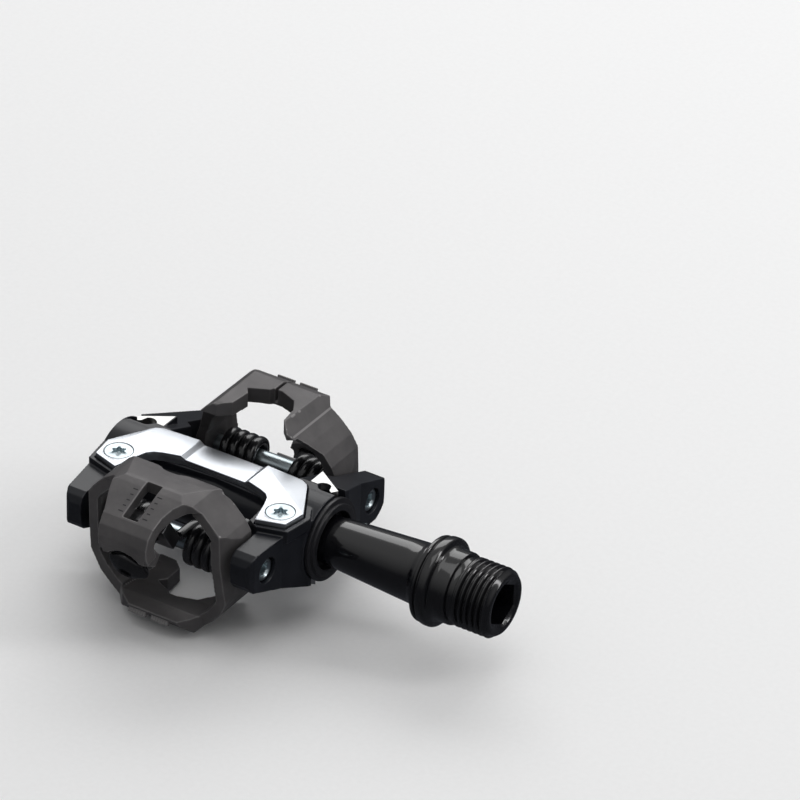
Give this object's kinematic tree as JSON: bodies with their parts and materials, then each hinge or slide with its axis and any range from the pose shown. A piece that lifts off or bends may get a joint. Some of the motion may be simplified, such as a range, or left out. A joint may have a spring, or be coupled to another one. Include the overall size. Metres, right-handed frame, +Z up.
{
  "type": "clipless pedal",
  "caption": "Two-sided clipless bicycle pedal, left hand, with sprung jaws on both faces, bolted wear plates and a threaded spindle.",
  "frame": {"origin": "on the spindle axis, at the spindle flange's seating face against the crank", "axes": "+X along the spindle toward the crank, +Y forward, +Z up with the pedal level"},
  "size_m": [0.0915, 0.0726, 0.0336],
  "materials": {
    "spindle_steel": "black, glossy",
    "zinc_steel": "zinc plated",
    "bearing_steel": "ground",
    "bush_bronze": "sintered",
    "seal_rubber": "moulded",
    "ring_black": "satin",
    "body_paint": "painted casting",
    "cap_aluminium": "anodised",
    "plate_steel": "bead blasted",
    "spring_black": "black, glossy",
    "cage_grey": "grey phosphate casting",
    "bolt_black": "black oxide",
    "nut_steel": "plain"
  },
  "bodies": {
    "spindle": {"spindle": "spindle_steel", "spindle_nut": "zinc_steel", "nut_washer": "zinc_steel", "bearing_inner_race": "bearing_steel"},
    "body": {"pedal_body": "body_paint", "end_cap": "cap_aluminium", "cap_o_ring": "seal_rubber", "top_plate": "plate_steel", "bottom_plate": "plate_steel", "top_screws": "zinc_steel", "bottom_screws": "zinc_steel", "rear_pin": "zinc_steel", "front_pin": "zinc_steel", "spindle_bush": "bush_bronze", "inboard_seal": "seal_rubber", "seal_ring": "ring_black", "bearing_outer_race": "bearing_steel", "bearing_balls": "bearing_steel", "rear_spring_outboard": "spring_black", "rear_spring_inboard": "spring_black", "front_spring_outboard": "spring_black", "front_spring_inboard": "spring_black"},
    "rear_cage": {"rear_cage": "cage_grey"},
    "front_cage": {"front_cage": "cage_grey"},
    "rear_adjuster": {"rear_adjuster": "bolt_black"},
    "front_adjuster": {"front_adjuster": "bolt_black"},
    "rear_tension_nut": {"rear_tension_nut": "nut_steel"},
    "front_tension_nut": {"front_tension_nut": "nut_steel"}
  },
  "joints": [
    {"name": "spindle_spin", "type": "hinge", "parent": "spindle", "child": "body", "pos_m": [-0.0552, 0, 0], "axis": [1, 0, 0], "continuous": true},
    {"name": "rear_cage_release", "type": "hinge", "parent": "body", "child": "rear_cage", "pos_m": [-0.0552, -0.0187, 0.0021], "axis": [1, 0, 0], "range_deg": [0, 12], "stiffness_Nm_per_rad": 3, "springref_deg": -22.92, "deforming": ["rear_spring_outboard", "rear_spring_inboard"]},
    {"name": "front_cage_release", "type": "hinge", "parent": "body", "child": "front_cage", "pos_m": [-0.0552, 0.0187, -0.0021], "axis": [1, 0, 0], "range_deg": [0, 12], "stiffness_Nm_per_rad": 3, "springref_deg": -22.92, "deforming": ["front_spring_outboard", "front_spring_inboard"]},
    {"name": "rear_adjuster_turn", "type": "hinge", "parent": "rear_cage", "child": "rear_adjuster", "pos_m": [-0.0549, -0.0336, 0.0029], "axis": [0, 0.8387, 0.5446], "range_deg": [0, 1080]},
    {"name": "front_adjuster_turn", "type": "hinge", "parent": "front_cage", "child": "front_adjuster", "pos_m": [-0.0549, 0.0336, -0.0029], "axis": [0, -0.8387, -0.5446], "range_deg": [0, 1080]},
    {"name": "rear_tension_slide", "type": "slide", "parent": "rear_cage", "child": "rear_tension_nut", "axis": [0, -0.8387, -0.5446], "range_m": [0, 0.0024]},
    {"name": "front_tension_slide", "type": "slide", "parent": "front_cage", "child": "front_tension_nut", "axis": [0, 0.8387, 0.5446], "range_m": [0, 0.0024]}
  ],
  "couplings": [
    {"joint": "rear_adjuster_turn", "follows": "rear_tension_slide", "rad_per_m": 7854},
    {"joint": "front_adjuster_turn", "follows": "front_tension_slide", "rad_per_m": 7854}
  ]
}
